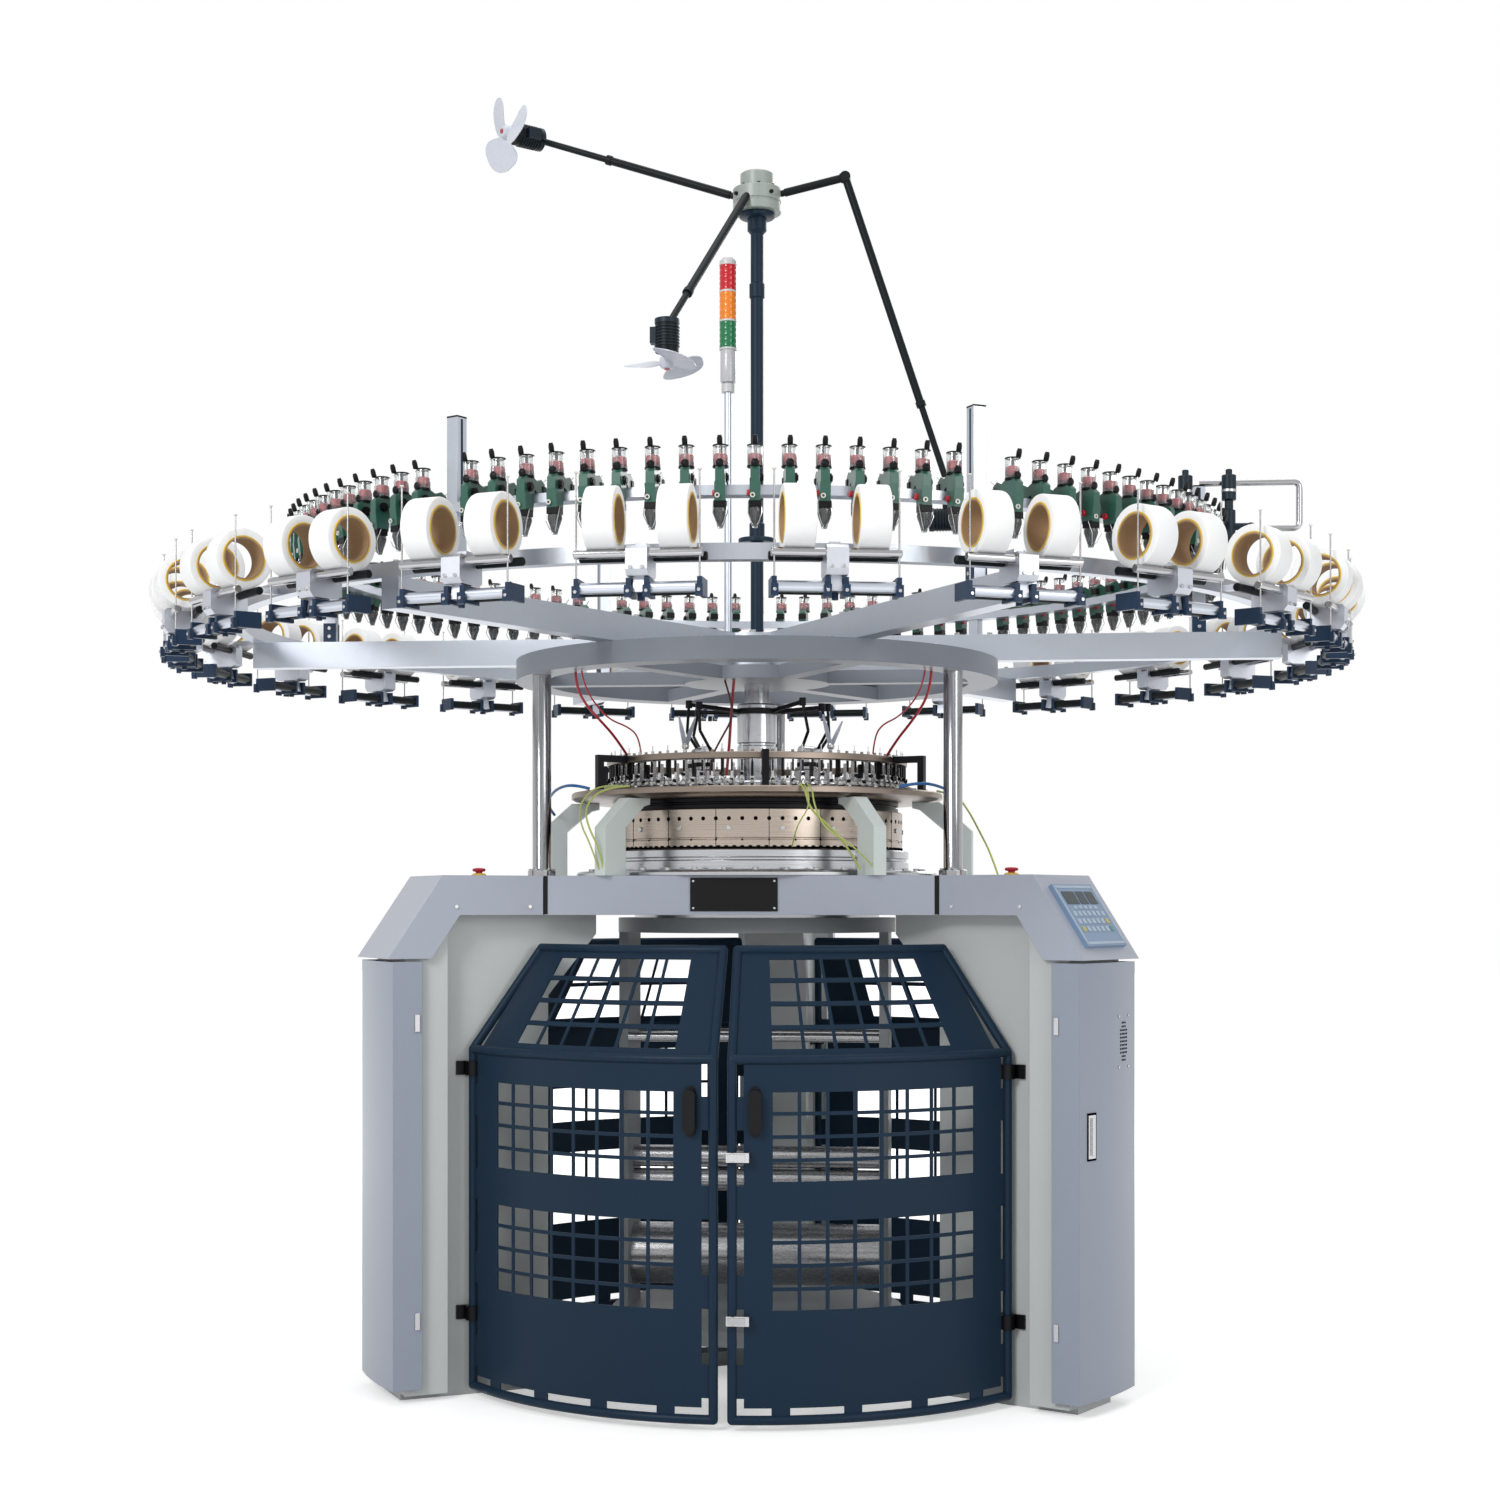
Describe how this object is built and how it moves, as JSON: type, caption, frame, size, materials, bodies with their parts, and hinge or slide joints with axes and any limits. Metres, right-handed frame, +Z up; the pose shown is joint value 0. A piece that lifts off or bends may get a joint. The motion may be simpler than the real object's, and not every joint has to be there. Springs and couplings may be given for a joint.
{
  "type": "circular knitting machine",
  "caption": "Circular knitting machine on legs with a knitting head, ring of yarn feeders, spool creel, curved pierced guard gates and a mast with swivelling fans.",
  "frame": {"origin": "on the floor, under the axis of the needle cylinder", "axes": "+Z up along the needle cylinder's axis, -Y towards the front gates, +X to the operator's right"},
  "size_m": [3.6624, 3.6624, 3.977],
  "materials": {
    "hood_paint": "satin",
    "leg_paint": "satin",
    "door_paint": "satin",
    "ring_paint": "satin",
    "gate_paint": "semi-gloss",
    "arm_paint": "satin",
    "boom_paint": "satin",
    "mast_paint": "satin",
    "column_chrome": "polished",
    "head_steel": "turned",
    "cylinder_steel": "ground",
    "dark_steel": "blackened",
    "creel_aluminium": "drawn",
    "unit_aluminium": "satin",
    "feeder_green": "gloss",
    "spool_yarn": "matte",
    "black_plastic": "satin",
    "fan_plastic": "satin",
    "lamp_lens": "gloss",
    "panel_film": "satin",
    "button_red": "gloss",
    "roll_steel": "brushed"
  },
  "bodies": {
    "machine": {"leg_left": "leg_paint", "leg_right": "leg_paint", "leg_back": "leg_paint", "hood_left": "hood_paint", "hood_right": "hood_paint", "hood_back": "hood_paint", "bed": "hood_paint", "leg_door_hinges": "roll_steel", "gates_right": "gate_paint", "gates_left": "gate_paint", "gate_clamps": "dark_steel", "columns": "column_chrome", "top_ring": "ring_paint", "creel_arms": "creel_aluminium", "creel_posts": "creel_aluminium", "feeder_ring": "creel_aluminium", "creel_rail": "creel_aluminium", "head_base": "head_steel", "cam_box": "head_steel", "head_band": "dark_steel", "feeder_plate": "head_steel", "yarn_carriers": "cylinder_steel", "guide_ring": "head_steel", "guide_brackets": "dark_steel", "head_arms": "arm_paint", "dial_hub": "cylinder_steel", "base_tie": "leg_paint", "mast": "mast_paint", "lamp_pole": "creel_aluminium", "signal_lamp": "lamp_lens", "control_panel": "panel_film", "stop_buttons": "button_red", "yarn_feeders_right": "feeder_green", "creel_units_right": "unit_aluminium", "yarn_spools_right": "spool_yarn", "yarn_feeders_back": "feeder_green", "creel_units_back": "unit_aluminium", "yarn_spools_back": "spool_yarn", "yarn_feeders_left": "feeder_green", "creel_units_left": "unit_aluminium", "yarn_spools_left": "spool_yarn"},
    "gate_right": {"gate_front_right": "gate_paint", "gate_handle_right": "black_plastic", "gate_latches": "column_chrome"},
    "gate_left": {"gate_front_left": "gate_paint", "gate_handle_left": "black_plastic"},
    "door_left": {"leg_door_left": "door_paint"},
    "door_right": {"leg_door_right": "door_paint"},
    "door_back": {"leg_door_back": "door_paint"},
    "takedown": {"needle_cylinder": "cylinder_steel", "takedown_frame": "ring_paint", "takedown_rollers": "roll_steel", "cloth_roll": "roll_steel"},
    "swivel": {"swivel_hub": "ring_paint", "fan_booms": "boom_paint"},
    "fan_high_rotor": {"fan_high": "fan_plastic"},
    "fan_mid_rotor": {"fan_mid": "fan_plastic"},
    "fan_low_rotor": {"fan_low": "fan_plastic"}
  },
  "joints": [
    {"name": "gate_right_hinge", "type": "hinge", "parent": "machine", "child": "gate_right", "pos_m": [0.76556, -0.58749, 0.6], "axis": [0, 0, 1], "range_deg": [0, 70]},
    {"name": "gate_left_hinge", "type": "hinge", "parent": "machine", "child": "gate_left", "pos_m": [-0.76556, -0.58749, 0.6], "axis": [0, 0, -1], "range_deg": [0, 70]},
    {"name": "door_left_hinge", "type": "hinge", "parent": "machine", "child": "door_left", "pos_m": [-1.06328, -0.40835, 0.65], "axis": [0, 0, -1], "range_deg": [0, 95]},
    {"name": "door_right_hinge", "type": "hinge", "parent": "machine", "child": "door_right", "pos_m": [1.06328, -0.40835, 0.65], "axis": [0, 0, 1], "range_deg": [0, 95]},
    {"name": "door_back_hinge", "type": "hinge", "parent": "machine", "child": "door_back", "pos_m": [-0.178, 1.125, 0.65], "axis": [0, 0, 1], "range_deg": [0, 95]},
    {"name": "cylinder_spin", "type": "hinge", "parent": "machine", "child": "takedown", "pos_m": [0, 0, 0.6], "axis": [0, 0, 1], "continuous": true},
    {"name": "boom_swivel", "type": "hinge", "parent": "machine", "child": "swivel", "pos_m": [0, 0, 3.6], "axis": [0, 0, 1], "continuous": true},
    {"name": "fan_high_spin", "type": "hinge", "parent": "swivel", "child": "fan_high_rotor", "pos_m": [-0.7328, 0.10299, 3.86], "axis": [-0.7431, -0.6691, 0], "continuous": true},
    {"name": "fan_mid_spin", "type": "hinge", "parent": "swivel", "child": "fan_mid_rotor", "pos_m": [-0.20521, -0.56382, 2.98], "axis": [0, 0, -1], "continuous": true},
    {"name": "fan_low_spin", "type": "hinge", "parent": "swivel", "child": "fan_low_rotor", "pos_m": [0.585, 0, 2.604], "axis": [1, 0, 0], "continuous": true}
  ]
}
